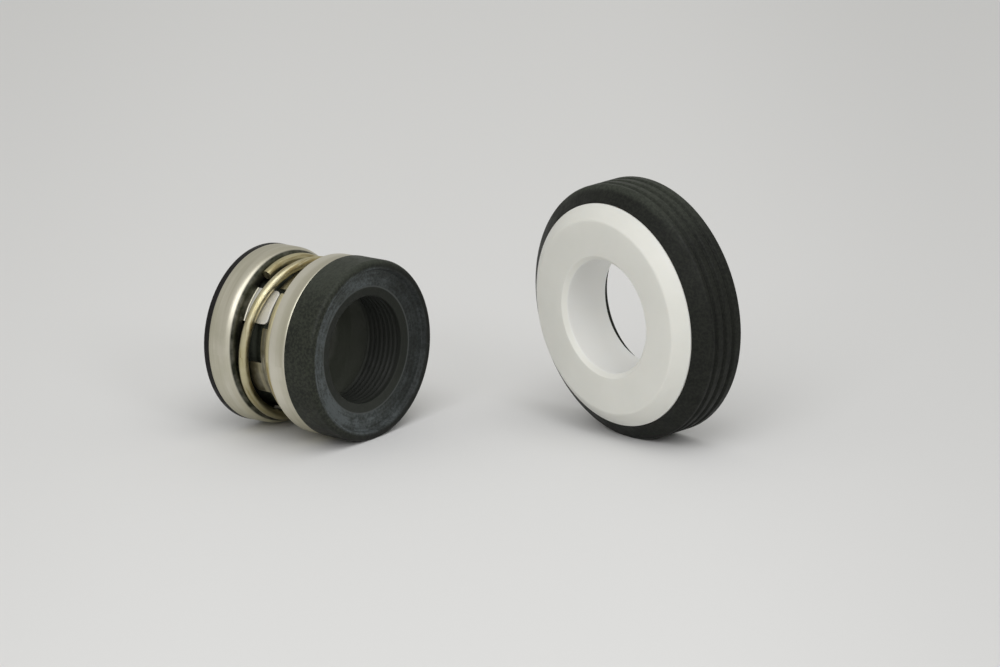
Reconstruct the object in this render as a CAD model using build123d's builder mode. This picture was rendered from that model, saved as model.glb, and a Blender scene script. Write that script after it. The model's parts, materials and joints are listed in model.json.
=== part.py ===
from build123d import *
from math import cos, radians, sin
import os

# Component mechanical seal for a 3/4 in pump shaft, in millimetres: the rotating head and its
# stationary seat, side by side on one level surface.
# The head's shaft axis is X. Its rubber tail looks towards +X and its sealing face towards -X.
# The origin is on that axis, in the plane of the drive band's open rim, inside the shaft bore.
# Radii grow outwards from the shaft: rubber, pressed fingers, coil, then the two pressings.

# --- fits -----------------------------------------------------------------------------------
clamp_gap = 0.03            # rubber inside a clamped metal pressing
ring_gap = 0.10             # rubber against the ring and shell that travel
finger_gap = 0.15           # sheet-metal fingers past rubber, spring and flange
wire_seat_gap = 0.05        # spring wire against each of its seats

# --- shaft and travel -----------------------------------------------------------------------
shaft_r = 9.525
shaft_grip = 0.075          # by how much the bore's ribs are smaller than the shaft, in radius
travel = 2.2                # axial compression of the head, from its free length

# --- sheet-metal pressings --------------------------------------------------------------------
sheet = 0.45                # stainless sheet of the band and the shell
bend_r = 0.35               # inside radius of a bend
finger_count = 3
finger_corner = 1.0
stop_gap = 0.30             # left in front of a band finger at the end of the travel
tip_gap = 1.20              # the same in front of a shell finger

# --- rubber tail of the bellows ---------------------------------------------------------------
grip_wall = 2.825           # rubber between the shaft and the band's collar
tail_proud = 0.15           # rubber tail outside the drive band
tail_length = 6.1           # from the drive band's rim to the crest of the tail's lip
lip_round = 1.30
lip_land = 0.25
lip_height = 0.80           # lip crest above the recessed face ring
lip_slope = 0.30
mouth_flare = 1.70
mouth_depth = 1.10
rib_pitch = 1.03
rib_depth = 0.45
rib_land = 0.36
rib_count = 7

# --- rubber sleeve and ring cup of the bellows -------------------------------------------------
sleeve_wall = 1.10
fold_depth = 1.0
cup_back = 1.45             # rubber behind the primary ring
back_lip = 1.475            # inner edge of that rubber, outside the shaft
finger_recess = 0.60        # step in the cup's front, which lets the band's fingers pass

# --- coil spring ----------------------------------------------------------------------------
wire_r = 0.875
spring_length = 8.80        # between its two seats
coil_end_angle = 64.7       # where the wire starts, in degrees round X from -Y, upwards
shell_side_turn = 267.0     # degrees lying flat on the shell's seat
rising_turn = 212.0         # degrees crossing from seat to seat
band_side_turn = 225.5      # degrees lying flat on the band's seat
ramp_ease = 0.4             # how far the crossing's ends are eased: 0 is an even slope, 1 is a full S
wire_sections = 28

# --- drive band -----------------------------------------------------------------------------
band_margin = 1.025         # band outside the coil
band_length = 4.10          # from its rim back to the spring's seat
band_corner = 0.70
collar_length = 4.10
band_finger_arc = 27.5      # degrees
band_finger_angle = -18.3   # its middle, in degrees round X from -Y, upwards
slot_side_gap = 3.0         # degrees, each side of a shell finger in its slot

# --- retainer shell -------------------------------------------------------------------------
shell_margin = 0.845        # shell outside the coil
shell_length = 4.95         # from the spring's seat back to its open rim
shell_corner = 1.8
shell_finger_arc = 29.3
shell_finger_angle = 40.6

# --- primary ring ---------------------------------------------------------------------------
ring_clearance = 0.775      # ring bore outside the shaft
spigot_wall = 2.30
flange_proud = 0.03         # ring flange outside the shell
flange_width = 1.15
flange_edge = 0.15
nose_step = 0.65            # lapped nose outside the ring's bore
nose_width = 2.15
nose_height = 1.40

# --- stationary seat ------------------------------------------------------------------------
seat_clearance = 0.475      # seat bore outside the shaft
seat_bore_chamfer = 0.8
seat_ring_wall = 9.60
seat_ring_depth = 7.60      # ring behind the cup's mouth
seat_proud = 2.10           # lapped face in front of the cup's mouth
seat_chamfer = 2.50         # radial width of the outer chamfer
seat_back_edge = 0.4
cup_wall = 2.87
cup_setback = 0.20          # cup's mouth behind the outer edge of the ring's chamfer
cup_mouth_land = 0.15
cup_shoulder = 2.60         # from the edge of that chamfer back to the foot of the cup's bevel
cup_shoulder_round = 0.45
cup_back_wall = 1.75
cup_window = 1.50           # hole behind the ring, outside the ring's bore
cup_back_edge = 0.55
groove_count = 3
groove_pitch = 1.95
groove_width = 1.00
groove_floor = 0.40
groove_depth = 0.45
groove_start = 0.90         # from the foot of the bevel to the middle of the first groove

# --- how the two halves lie -----------------------------------------------------------------
flat_spot = 0.10            # how far a rubber rim is flattened where it rests
seat_x = 43.3
seat_y = 21.0
seat_turn = -98.4           # degrees from +X to the way the seat's face looks

# --- radii, from the shaft outwards -------------------------------------------------------------
rib_crest_r = shaft_r - shaft_grip
mouth_r = rib_crest_r + mouth_flare
sleeve_r = rib_crest_r + grip_wall
cavity_r = sleeve_r - sleeve_wall
finger_inner_r = sleeve_r + finger_gap
finger_r = finger_inner_r + sheet
finger_hole_r = finger_r + finger_gap
coil_r = finger_hole_r + wire_r
band_r = coil_r + wire_r + band_margin
shell_r = coil_r + wire_r + shell_margin
tail_r = band_r + tail_proud
lip_outer_r = tail_r - lip_round
lip_inner_r = lip_outer_r - lip_land
clamp_r = band_r - sheet - clamp_gap
ring_cup_r = shell_r - sheet - ring_gap
ring_bore_r = shaft_r + ring_clearance
spigot_r = ring_bore_r + spigot_wall
back_lip_r = shaft_r + back_lip
flange_r = shell_r + flange_proud
nose_inner_r = ring_bore_r + nose_step
nose_outer_r = nose_inner_r + nose_width
seat_bore_r = shaft_r + seat_clearance
seat_ring_r = seat_bore_r + seat_ring_wall
seat_face_r = seat_ring_r - seat_chamfer
cup_inner_r = seat_ring_r + clamp_gap
cup_r = cup_inner_r + cup_wall
cup_window_r = seat_bore_r + cup_window

# --- places along the head's axis -----------------------------------------------------------------
band_seat_x = -band_length
shell_seat_x = band_seat_x - spring_length
shell_finger_tip_x = band_seat_x - tip_gap - travel
shell_rim_x = shell_seat_x - shell_length
clamp_x = band_seat_x + sheet + clamp_gap
collar_end_x = band_seat_x - collar_length
cup_front_x = shell_seat_x - sheet - clamp_gap
recess_x = cup_front_x - finger_recess
band_finger_tip_x = recess_x + stop_gap + travel
spigot_x = cup_front_x - cup_back - ring_gap
flange_front_x = shell_rim_x - clamp_gap
flange_back_x = flange_front_x - flange_width
nose_x = flange_back_x - nose_height
cup_rim_x = flange_front_x + ring_gap
fold_mid_x = (collar_end_x + recess_x) / 2
face_x = tail_length - lip_height
bore_front_x = face_x - mouth_depth
bore_back_x = bore_front_x - rib_land - rib_pitch * rib_count

# --- planes and axes ------------------------------------------------------------------------
head_floor_z = -(tail_r - flat_spot)
seat_z = head_floor_z + cup_r - flat_spot
seat_look = (cos(radians(seat_turn)), sin(radians(seat_turn)), 0)
seat_side = (sin(radians(seat_turn)), -cos(radians(seat_turn)), 0)
seat_plane = Plane(origin=(seat_x, seat_y, seat_z), x_dir=seat_look, z_dir=seat_side)
seat_axis = Axis((seat_x, seat_y, seat_z), seat_look)
floor_plane = Plane.XY.offset(head_floor_z)


def finger_planes(first_angle, x):
    """Planes round the shaft axis whose normals point outwards through each finger's middle."""
    planes = []
    for k in range(finger_count):
        angle = radians(first_angle + k * 360 / finger_count)
        outwards = (0, -cos(angle), sin(angle))
        planes.append(Plane(origin=(x, 0, 0), x_dir=(1, 0, 0), z_dir=outwards))
    return planes


def chord(arc_degrees, r):
    """Width across an arc of the given angle at radius r."""
    return 2 * r * sin(radians(arc_degrees / 2))


# --- drive band: clamped rim, spring flange, slotted collar and three fingers -----------------------
with BuildPart() as drive_band:
    blank_front_x = (band_seat_x + collar_end_x) / 2
    blank_length = blank_front_x - band_finger_tip_x
    blank_x = (blank_front_x + band_finger_tip_x) / 2
    with BuildSketch(*finger_planes(band_finger_angle, blank_x)):
        RectangleRounded(blank_length, chord(band_finger_arc, finger_r), finger_corner)
    extrude(amount=band_r)
    with BuildSketch(Plane.XZ):
        with BuildLine():
            Polyline(
                (band_finger_tip_x, finger_inner_r),
                (band_seat_x, finger_inner_r),
                (band_seat_x, finger_r),
                (band_finger_tip_x, finger_r),
                close=True,
            )
        make_face()
    revolve(axis=Axis.X, mode=Mode.INTERSECT)
    with BuildSketch(Plane.XZ):
        with BuildLine():
            FilletPolyline(
                (collar_end_x, finger_r),
                (band_seat_x, finger_r),
                (band_seat_x, band_r),
                (0, band_r),
                radius=(bend_r, band_corner),
            )
            Line((0, band_r), (0, band_r - sheet))
            FilletPolyline(
                (0, band_r - sheet),
                (band_seat_x + sheet, band_r - sheet),
                (band_seat_x + sheet, finger_inner_r),
                (collar_end_x, finger_inner_r),
                radius=(band_corner - sheet, bend_r + sheet),
            )
            Line((collar_end_x, finger_inner_r), (collar_end_x, finger_r))
        make_face()
    revolve(axis=Axis.X)
    slot_length = collar_length + sheet
    slot_arc = shell_finger_arc + 2 * slot_side_gap
    with BuildSketch(*finger_planes(shell_finger_angle, band_seat_x - slot_length / 2)):
        Rectangle(slot_length, chord(slot_arc, finger_r))
    extrude(amount=finger_hole_r, mode=Mode.SUBTRACT)
drive_band.part.label = "drive_band"

# --- retainer shell: cup round the ring end, spring shoulder and three fingers ----------------------
with BuildPart() as retainer_shell:
    root_r = finger_hole_r + bend_r
    blank_length = shell_finger_tip_x - shell_seat_x + 2 * sheet + finger_corner
    with BuildSketch(*finger_planes(shell_finger_angle, shell_finger_tip_x - blank_length / 2)):
        RectangleRounded(blank_length, chord(shell_finger_arc, finger_r), finger_corner)
    extrude(amount=shell_r)
    with BuildSketch(Plane.XZ):
        with BuildLine():
            FilletPolyline(
                (shell_finger_tip_x, finger_r),
                (shell_seat_x, finger_r),
                (shell_seat_x, root_r),
                radius=bend_r,
            )
            Line((shell_seat_x, root_r), (shell_seat_x - sheet, root_r))
            FilletPolyline(
                (shell_seat_x - sheet, root_r),
                (shell_seat_x - sheet, finger_inner_r),
                (shell_finger_tip_x, finger_inner_r),
                radius=bend_r,
            )
            Line((shell_finger_tip_x, finger_inner_r), (shell_finger_tip_x, finger_r))
        make_face()
    revolve(axis=Axis.X, mode=Mode.INTERSECT)
    with BuildSketch(Plane.XZ):
        with BuildLine():
            FilletPolyline(
                (shell_seat_x, finger_hole_r),
                (shell_seat_x, shell_r),
                (shell_rim_x, shell_r),
                radius=shell_corner,
            )
            Line((shell_rim_x, shell_r), (shell_rim_x, shell_r - sheet))
            FilletPolyline(
                (shell_rim_x, shell_r - sheet),
                (shell_seat_x - sheet, shell_r - sheet),
                (shell_seat_x - sheet, finger_hole_r),
                radius=shell_corner - sheet,
            )
            Line((shell_seat_x - sheet, finger_hole_r), (shell_seat_x, finger_hole_r))
        make_face()
    revolve(axis=Axis.X)
retainer_shell.part.label = "retainer_shell"


# --- coil spring: one wire, closed flat on the shell's seat, rising once, closed on the band's seat --
whole_turn = shell_side_turn + rising_turn + band_side_turn


def coil_point(turned):
    """A point on the wire's centre line, a number of degrees from the wire's start."""
    low_x = shell_seat_x + wire_seat_gap + wire_r
    high_x = band_seat_x - wire_seat_gap - wire_r
    share = min(max((turned - shell_side_turn) / rising_turn, 0), 1)
    eased = share * share * (3 - 2 * share)
    climb = share + (eased - share) * ramp_ease
    angle = radians(coil_end_angle + turned)
    x = low_x + (high_x - low_x) * climb
    return Vector(x, -coil_r * cos(angle), coil_r * sin(angle))


def wire_plane(turned):
    """The plane square to the wire there, with its x direction outwards from the shaft axis."""
    angle = radians(coil_end_angle + turned)
    along = coil_point(turned + 1) - coil_point(turned - 1)
    return Plane(origin=coil_point(turned), x_dir=(0, -cos(angle), sin(angle)), z_dir=along)


with BuildPart() as coil_spring:
    for k in range(wire_sections + 1):
        with BuildSketch(wire_plane(whole_turn * k / wire_sections)):
            Circle(wire_r)
    loft()
coil_spring.part.label = "coil_spring"

# --- bellows: ribbed tail, folding sleeve and ring cup, one moulding ---------------------------------
with BuildPart() as bellows:
    with BuildSketch(Plane.XZ):
        with BuildLine():
            Polyline(
                (face_x, mouth_r),
                (face_x, lip_inner_r - lip_slope),
                (tail_length, lip_inner_r),
                (tail_length, lip_outer_r),
            )
            RadiusArc((tail_length, lip_outer_r), (tail_length - lip_round, tail_r), lip_round)
            Polyline((tail_length - lip_round, tail_r), (0, tail_r), (0, clamp_r))
            FilletPolyline((0, clamp_r), (clamp_x, clamp_r), (clamp_x, sleeve_r), radius=band_corner)
            Line((clamp_x, sleeve_r), (collar_end_x, sleeve_r))
            Spline(
                (collar_end_x, sleeve_r),
                (fold_mid_x, sleeve_r - fold_depth),
                (recess_x, sleeve_r),
                tangents=[(-1, 0), (-1, 0)],
            )
            Polyline((recess_x, sleeve_r), (recess_x, finger_hole_r), (cup_front_x, finger_hole_r))
            FilletPolyline(
                (cup_front_x, finger_hole_r),
                (cup_front_x, ring_cup_r),
                (cup_rim_x, ring_cup_r),
                radius=shell_corner,
            )
            Polyline(
                (cup_rim_x, ring_cup_r),
                (cup_rim_x, spigot_r + ring_gap),
                (spigot_x + ring_gap, spigot_r + ring_gap),
                (spigot_x + ring_gap, back_lip_r),
                (recess_x, cavity_r),
            )
            Spline(
                (recess_x, cavity_r),
                (fold_mid_x, cavity_r - fold_depth),
                (collar_end_x, cavity_r),
                tangents=[(1, 0), (1, 0)],
            )
            Polyline((collar_end_x, cavity_r), (bore_back_x, cavity_r), (bore_back_x, rib_crest_r))
            for k in range(rib_count):
                crest_x = bore_back_x + k * rib_pitch
                Polyline(
                    (crest_x, rib_crest_r),
                    (crest_x + rib_land, rib_crest_r),
                    (crest_x + (rib_land + rib_pitch) / 2, rib_crest_r + rib_depth),
                    (crest_x + rib_pitch, rib_crest_r),
                )
            Polyline(
                (bore_front_x - rib_land, rib_crest_r),
                (bore_front_x, rib_crest_r),
                (face_x, mouth_r),
            )
        make_face()
    revolve(axis=Axis.X)
    split(bisect_by=floor_plane, keep=Keep.TOP)
bellows.part.label = "bellows"

# --- primary ring: flange at the shell's rim, spigot in the rubber cup, raised lapped nose -----------
with BuildPart() as primary_ring:
    with BuildSketch(Plane.XZ):
        with BuildLine():
            Polyline(
                (spigot_x, ring_bore_r),
                (spigot_x, spigot_r),
                (flange_front_x, spigot_r),
                (flange_front_x, flange_r - flange_edge),
                (flange_front_x - flange_edge, flange_r),
                (flange_back_x + flange_edge, flange_r),
                (flange_back_x, flange_r - flange_edge),
                (flange_back_x, nose_outer_r),
                (nose_x, nose_outer_r),
                (nose_x, nose_inner_r),
                (flange_back_x, ring_bore_r),
                close=True,
            )
        make_face()
    revolve(axis=Axis.X)
primary_ring.part.label = "primary_ring"

# --- seat ring: chamfered ceramic, its face proud of the rubber cup ---------------------------------
ring_back_x = -seat_ring_depth
with BuildPart() as seat_ring:
    with BuildSketch(seat_plane):
        with BuildLine():
            Polyline(
                (seat_proud - seat_bore_chamfer, seat_bore_r),
                (seat_proud, seat_bore_r + seat_bore_chamfer),
                (seat_proud, seat_face_r),
                (0, seat_ring_r),
                (ring_back_x + seat_back_edge, seat_ring_r),
                (ring_back_x, seat_ring_r - seat_back_edge),
                (ring_back_x, seat_bore_r + seat_back_edge),
                (ring_back_x + seat_back_edge, seat_bore_r),
                close=True,
            )
        make_face()
    revolve(axis=seat_axis)
seat_ring.part.label = "seat_ring"

# --- seat cup: bevelled shoulder, grooved press-fit wall, flange behind the ring ---------------------
cup_mouth_x = -cup_setback
cup_floor_x = ring_back_x - clamp_gap
cup_back_x = cup_floor_x - cup_back_wall
with BuildPart() as seat_cup:
    with BuildSketch(seat_plane):
        with BuildLine():
            Line((cup_mouth_x, cup_inner_r), (cup_mouth_x, cup_inner_r + cup_mouth_land))
            FilletPolyline(
                (cup_mouth_x, cup_inner_r + cup_mouth_land),
                (-cup_shoulder, cup_r),
                (cup_back_x + cup_back_edge, cup_r),
                radius=cup_shoulder_round,
            )
            Polyline(
                (cup_back_x + cup_back_edge, cup_r),
                (cup_back_x, cup_r - cup_back_edge),
                (cup_back_x, cup_window_r),
                (cup_floor_x, cup_window_r),
                (cup_floor_x, cup_inner_r),
                (cup_mouth_x, cup_inner_r),
            )
        make_face()
    revolve(axis=seat_axis)
    groove_bottom_r = cup_r - groove_depth
    with BuildSketch(seat_plane):
        for k in range(groove_count):
            groove_x = -cup_shoulder - groove_start - k * groove_pitch
            with BuildLine():
                Polyline(
                    (groove_x + groove_floor / 2, groove_bottom_r),
                    (groove_x + groove_width / 2, cup_r),
                    (groove_x + groove_width / 2, cup_r + groove_depth),
                    (groove_x - groove_width / 2, cup_r + groove_depth),
                    (groove_x - groove_width / 2, cup_r),
                    (groove_x - groove_floor / 2, groove_bottom_r),
                    close=True,
                )
            make_face()
    revolve(axis=seat_axis, mode=Mode.SUBTRACT)
    split(bisect_by=floor_plane, keep=Keep.TOP)
seat_cup.part.label = "seat_cup"

os.makedirs("parts", exist_ok=True)
for node in (drive_band, retainer_shell, coil_spring, bellows, primary_ring, seat_ring, seat_cup):
    export_step(node.part, f"parts/{node.part.label}.step")
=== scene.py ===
import json
import math

import bmesh
import bpy
from mathutils import Matrix, Vector


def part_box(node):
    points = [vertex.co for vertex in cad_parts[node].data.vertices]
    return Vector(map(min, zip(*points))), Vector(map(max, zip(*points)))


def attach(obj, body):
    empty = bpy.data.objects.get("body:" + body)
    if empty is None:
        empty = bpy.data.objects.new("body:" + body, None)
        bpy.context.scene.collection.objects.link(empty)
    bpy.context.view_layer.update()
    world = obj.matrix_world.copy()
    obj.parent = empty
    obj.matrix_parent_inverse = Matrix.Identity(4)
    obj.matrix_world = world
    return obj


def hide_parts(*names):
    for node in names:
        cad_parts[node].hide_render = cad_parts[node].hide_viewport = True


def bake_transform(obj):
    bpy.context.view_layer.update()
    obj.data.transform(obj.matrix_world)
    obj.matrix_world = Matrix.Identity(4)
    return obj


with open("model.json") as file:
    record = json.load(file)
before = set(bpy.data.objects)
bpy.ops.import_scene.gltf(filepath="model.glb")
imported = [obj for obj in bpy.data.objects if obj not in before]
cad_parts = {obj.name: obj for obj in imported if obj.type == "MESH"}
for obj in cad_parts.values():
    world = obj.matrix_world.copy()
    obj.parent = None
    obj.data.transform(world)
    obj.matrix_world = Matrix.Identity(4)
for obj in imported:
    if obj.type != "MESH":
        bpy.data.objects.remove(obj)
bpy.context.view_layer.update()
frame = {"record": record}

# Component mechanical seal: a rotating head (rubber bellows, coil, two steel pressings, carbon ring)
# and its stationary seat (ceramic ring in a grooved rubber cup), lying on one level surface.
# Metres throughout. The head's shaft axis is X, with its rubber tail towards +X.

MM = 0.001
WELD = 0.001 * MM
SHEET_WELD = 0.002 * MM
TURN_STEPS = 240
SHARP_TURNED, SHARP_SHEET, SHARP_CERAMIC = 38, 60, 30
MOUNTS = {mount["name"]: mount for mount in frame["record"]["mounts"]}

# --- the head, from the frame ------------------------------------------------------------------
BELLOWS_LOW, BELLOWS_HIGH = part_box("bellows")
BAND_LOW, BAND_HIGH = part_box("drive_band")
SHELL_LOW, SHELL_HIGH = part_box("retainer_shell")
RING_LOW, RING_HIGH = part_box("primary_ring")
COIL_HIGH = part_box("coil_spring")[1]
FLOOR = BELLOWS_LOW.z
TAIL_R = BELLOWS_HIGH.z
BAND_R = BAND_HIGH.z
SHELL_R = SHELL_HIGH.z
COIL_OUTER_R = COIL_HIGH.z
CREST_R = MOUNTS["shaft_bore"]["dims"]["r_mm"] * MM

# --- sheet metal and wire ----------------------------------------------------------------------
SHEET = 0.45 * MM
BEND_R = 0.35 * MM
EDGE = 0.07 * MM
WIRE_R = 0.875 * MM
COIL_R = COIL_OUTER_R - WIRE_R
FINGER_GAP = 0.15 * MM
FINGER_HOLE_R = COIL_R - WIRE_R
FINGER_R = FINGER_HOLE_R - FINGER_GAP
FINGER_CORNER = 1.0 * MM
BAND_SEAT = -4.10 * MM
BAND_CORNER = 0.70 * MM
BAND_ROLL = 0.5 * MM
COLLAR_END = BAND_SEAT - 4.10 * MM
BAND_FINGER = (-18.3, 27.5)
SHELL_FINGER = (40.6, 29.3)
SLOT_GAP = 3.0
SHELL_SEAT = BAND_SEAT - 8.80 * MM
SHELL_CORNER = 1.8 * MM
COIL_START = 64.7
SHELL_SIDE_TURN = 267.0
RISING_TURN = 212.0
BAND_SIDE_TURN = 225.5
RAMP_EASE = 0.4
WIRE_SEAT_GAP = 0.05 * MM
COIL_STEPS = 360
WIRE_SIDES = 24

# --- rubber bellows ----------------------------------------------------------------------------
LIP_HEIGHT = 0.80 * MM
LIP_ROUND = 1.30 * MM
LIP_LAND = 0.25 * MM
LIP_SLOPE = 0.30 * MM
LIP_EDGE = 0.16 * MM
FACE = BELLOWS_HIGH.x - LIP_HEIGHT
DISH = 0.45 * MM
MOUTH_R = CREST_R + 1.70 * MM
MOUTH_DEPTH = 1.10 * MM
THROAT_STEP = 0.15 * MM
BLOOM_INNER_R = MOUTH_R + 0.25 * MM
BLOOM_OUTER_R = 15.0 * MM
BORE_FRONT = FACE - MOUTH_DEPTH
RIB_COUNT = 7
RIB_PITCH = 1.03 * MM
RIB_DEPTH = 0.45 * MM
RIB_LAND = 0.36 * MM
RIB_EDGE = 0.08 * MM
BORE_BACK = BORE_FRONT - RIB_LAND - RIB_COUNT * RIB_PITCH
FIT_GAP = 0.03 * MM
RING_GAP = 0.10 * MM
CLAMP_R = BAND_R - SHEET - FIT_GAP
CLAMP_BACK = BAND_SEAT + SHEET + FIT_GAP
SLEEVE_R = CREST_R + 2.825 * MM
CAVITY_R = SLEEVE_R - 1.10 * MM
FOLD_DEPTH = 1.0 * MM
CUP_FRONT = SHELL_SEAT - SHEET - FIT_GAP
CUP_RECESS = CUP_FRONT - 0.60 * MM
RING_CUP_R = SHELL_R - SHEET - RING_GAP
CUP_RIM = SHELL_LOW.x + 0.07 * MM
BACK_LIP_R = CREST_R + 1.55 * MM

# --- carbon ring -------------------------------------------------------------------------------
RING_R = RING_HIGH.z
RING_BORE_R = CREST_R + 0.85 * MM
SPIGOT_R = RING_BORE_R + 2.30 * MM
FLANGE_FRONT = SHELL_LOW.x - FIT_GAP
FLANGE_BACK = FLANGE_FRONT - 1.15 * MM
NOSE_INNER_R = RING_BORE_R + 0.65 * MM
NOSE_OUTER_R = NOSE_INNER_R + 2.15 * MM

# --- stationary seat, along its own axis from the mouth of the cup -----------------------------
SEAT_LOOK = Vector(MOUNTS["seat_bore"]["axis"]).normalized()
SEAT_MIDDLE = Vector(MOUNTS["seat_bore"]["pos_m"])
SEAT_PROUD = 2.10 * MM
LAPPED_AT = (Vector(MOUNTS["lapped_seat"]["pos_m"]) - SEAT_MIDDLE).dot(SEAT_LOOK)
SEAT_MOUTH = SEAT_MIDDLE + SEAT_LOOK * (LAPPED_AT - SEAT_PROUD)
SEAT_BORE_R = MOUNTS["seat_bore"]["dims"]["r_mm"] * MM
CUP_R = MOUNTS["seat_outside"]["dims"]["r_mm"] * MM
SEAT_RING_R = SEAT_BORE_R + 9.60 * MM
SEAT_FACE_R = SEAT_RING_R - 2.50 * MM
SEAT_FACE_ROUND = 0.8 * MM
SEAT_BACK_ROUND = 0.4 * MM
SEAT_BORE_CHAMFER = 0.8 * MM
SEAT_RING_DEPTH = 7.60 * MM
CUP_INNER_R = SEAT_RING_R + FIT_GAP
CUP_MOUTH = -0.20 * MM
CUP_MOUTH_LAND = 0.15 * MM
CUP_SHOULDER = 2.35 * MM
CUP_SHOULDER_ROUND = 0.6 * MM
CUP_FLOOR = -SEAT_RING_DEPTH - FIT_GAP
CUP_BACK = CUP_FLOOR - 1.75 * MM
CUP_WINDOW_R = SEAT_BORE_R + 1.50 * MM
CUP_BACK_EDGE = 0.55 * MM
GROOVE_COUNT = 3
GROOVE_PITCH = 1.95 * MM
GROOVE_WIDTH = 1.00 * MM
GROOVE_FLOOR = 0.40 * MM
GROOVE_DEPTH = 0.45 * MM
GROOVE_START = 3.50 * MM

# --- where turned pieces stand: their own Z runs along the axis they are turned on -------------
HEAD_PLACE = Matrix(((0, 0, 1, 0), (1, 0, 0, 0), (0, 1, 0, 0), (0, 0, 0, 1)))


def seat_place():
    """The seat's own frame: Z along its axis, the way the lapped face looks, and Y straight up."""
    up = Vector((0, 0, 1))
    side = up.cross(SEAT_LOOK)
    columns = Matrix((side, up, SEAT_LOOK)).transposed().to_4x4()
    return Matrix.Translation(SEAT_MOUTH) @ columns


SEAT_PLACE = seat_place()


# --- node trees --------------------------------------------------------------------------------
def add(tree, kind, settings=None, **inputs):
    """One node, with its settings and its inputs by name; an input is a value or another node's output."""
    node = tree.nodes.new(kind)
    for name, value in (settings or {}).items():
        setattr(node, name, value)
    for name, value in inputs.items():
        key = int(name[1:]) if name[0] == "i" and name[1:].isdigit() else name.replace("_", " ")
        socket = node.inputs[key]
        if isinstance(value, bpy.types.NodeSocket):
            tree.links.new(value, socket)
        else:
            socket.default_value = value
    return node


def sums(tree, operation, a, b=0.0):
    """A math node's result."""
    return add(tree, "ShaderNodeMath", {"operation": operation}, i0=a, i1=b).outputs[0]


def plus(tree, a, b):
    """The sum of two values."""
    return sums(tree, "ADD", a, b)


def times(tree, first, *others):
    """The product of several values."""
    for other in others:
        first = sums(tree, "MULTIPLY", first, other)
    return first


def geometry_tree(name, sizes):
    """A Geometry Nodes tree with a mesh input, the given named sizes and a material, and its two ends."""
    tree = bpy.data.node_groups.new(name, "GeometryNodeTree")
    tree.interface.new_socket("Geometry", in_out="INPUT", socket_type="NodeSocketGeometry")
    for size, kind in sizes:
        tree.interface.new_socket(size, in_out="INPUT", socket_type=kind)
    tree.interface.new_socket("Material", in_out="INPUT", socket_type="NodeSocketMaterial")
    tree.interface.new_socket("Geometry", in_out="OUTPUT", socket_type="NodeSocketGeometry")
    start = tree.nodes.new("NodeGroupInput")
    end = tree.nodes.new("NodeGroupOutput")
    return tree, start, end


def close_tree(tree, start, end, geometry):
    """Ends a tree with real geometry that carries the piece's material."""
    real = add(tree, "GeometryNodeRealizeInstances", Geometry=geometry)
    finish = add(tree, "GeometryNodeSetMaterial", Geometry=real.outputs[0], Material=start.outputs["Material"])
    tree.links.new(finish.outputs[0], end.inputs[0])


def turning_tree():
    """Turns an outline round Z. The outline lies in XY: its X is the radius, its Y runs back along the axis."""
    sizes = [("Arbor Radius", "NodeSocketFloat"), ("Steps", "NodeSocketInt")]
    tree, start, end = geometry_tree("turn_outline", sizes)
    arbor = start.outputs["Arbor Radius"]
    inwards = add(tree, "ShaderNodeCombineXYZ", X=times(tree, arbor, -1.0))
    moved = add(tree, "GeometryNodeTransform", Geometry=start.outputs["Geometry"], Translation=inwards.outputs[0])
    outline = add(tree, "GeometryNodeMeshToCurve", Mesh=moved.outputs[0])
    circle = add(
        tree, "GeometryNodeCurvePrimitiveCircle", {"mode": "RADIUS"}, Resolution=start.outputs["Steps"], Radius=arbor
    )
    body = add(tree, "GeometryNodeCurveToMesh", Curve=circle.outputs[0], Profile_Curve=outline.outputs[0])
    close_tree(tree, start, end, body.outputs[0])
    return tree


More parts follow.
